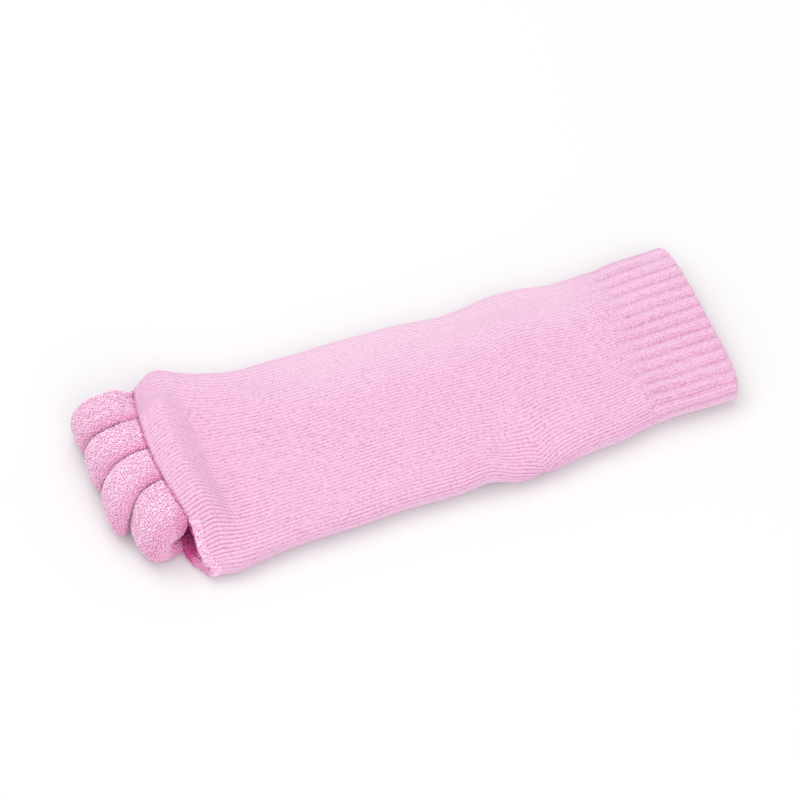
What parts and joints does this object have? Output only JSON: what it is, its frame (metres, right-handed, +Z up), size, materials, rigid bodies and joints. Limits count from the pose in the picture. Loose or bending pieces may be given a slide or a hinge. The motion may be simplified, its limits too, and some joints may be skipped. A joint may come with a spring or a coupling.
{
  "type": "toe sock",
  "caption": "Knitted toe sock lying flat on its sole: hollow foot and leg tube, ribbed cuff, and terry toe separators folded across an open toe mouth.",
  "frame": {"origin": "middle of the sock's box, on the surface it lies on", "axes": "+X from the toes to the cuff, +Z up, +Y across the sock"},
  "size_m": [0.245, 0.0932, 0.0219],
  "materials": {
    "plain_knit": "fine plain knit in pink yarn, matt",
    "rib_knit": "ribbed knit in pink yarn, matt",
    "terry": "looped terry in pink yarn, matt"
  },
  "bodies": {
    "root": {"sock_tube": "plain_knit", "heel_pocket": "plain_knit", "rib_cuff": "rib_knit", "toe_separator_1": "terry", "toe_separator_2": "terry", "toe_separator_3": "terry", "toe_separator_4": "terry"}
  },
  "joints": []
}
